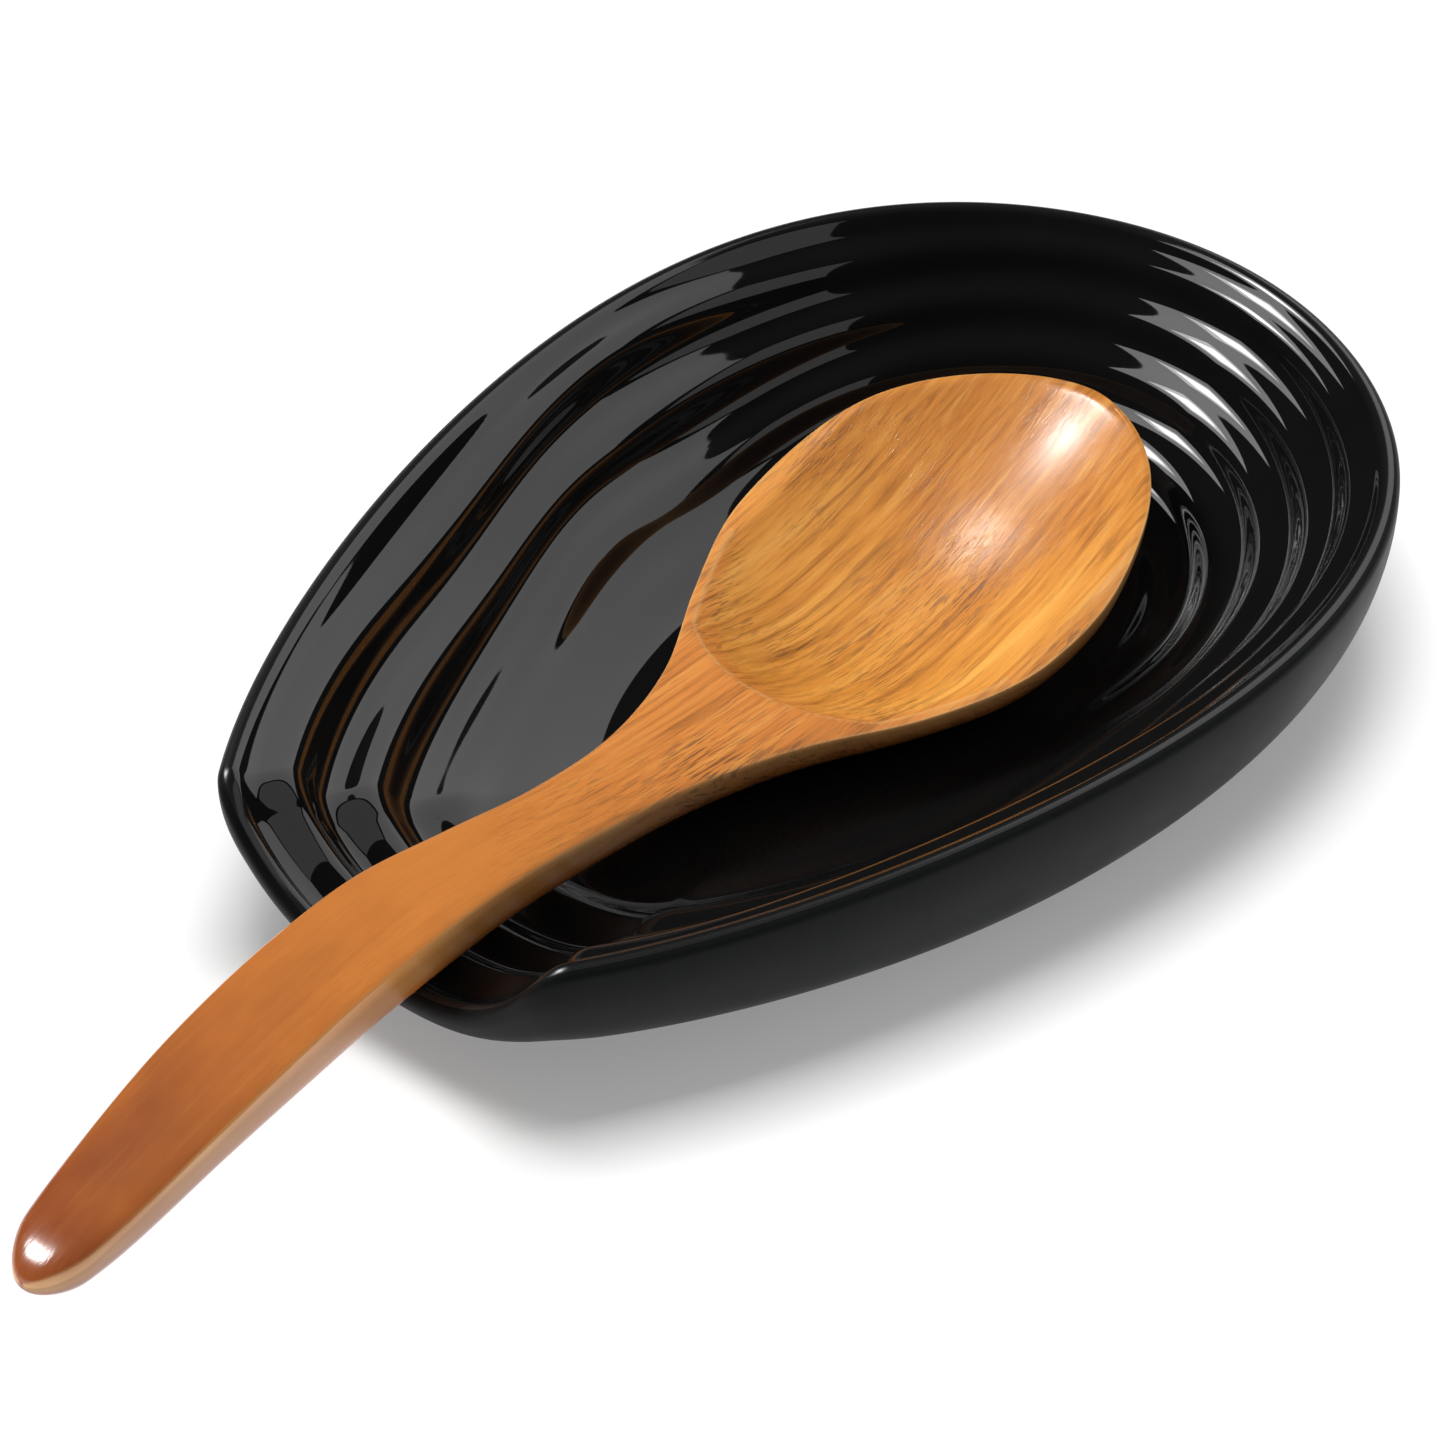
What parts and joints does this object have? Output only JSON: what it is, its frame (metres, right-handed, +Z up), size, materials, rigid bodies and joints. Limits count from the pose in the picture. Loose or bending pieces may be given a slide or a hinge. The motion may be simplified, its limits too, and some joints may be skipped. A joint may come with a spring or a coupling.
{
  "type": "spoon rest",
  "caption": "Egg-shaped black glazed dish with a rippled wall and a low lip, holding a wooden spoon whose handle lies over the lip.",
  "frame": {"origin": "centre of the dish's foot, on the surface that the dish stands on", "axes": "+Z up, +Y along the spoon from its handle towards the wide end of the dish, +X to the right seen from above"},
  "size_m": [0.1516, 0.2991, 0.0382],
  "materials": {
    "black_glaze": "gloss inside, satin outside",
    "lacquered_wood": "satin lacquer"
  },
  "bodies": {
    "dish": {"spoon_rest": "black_glaze"},
    "spoon": {"wooden_spoon": "lacquered_wood"}
  },
  "joints": [
    {"name": "spoon_lift", "type": "slide", "parent": "dish", "child": "spoon", "axis": [0, 0, 1], "range_m": [0, 0.08]}
  ]
}
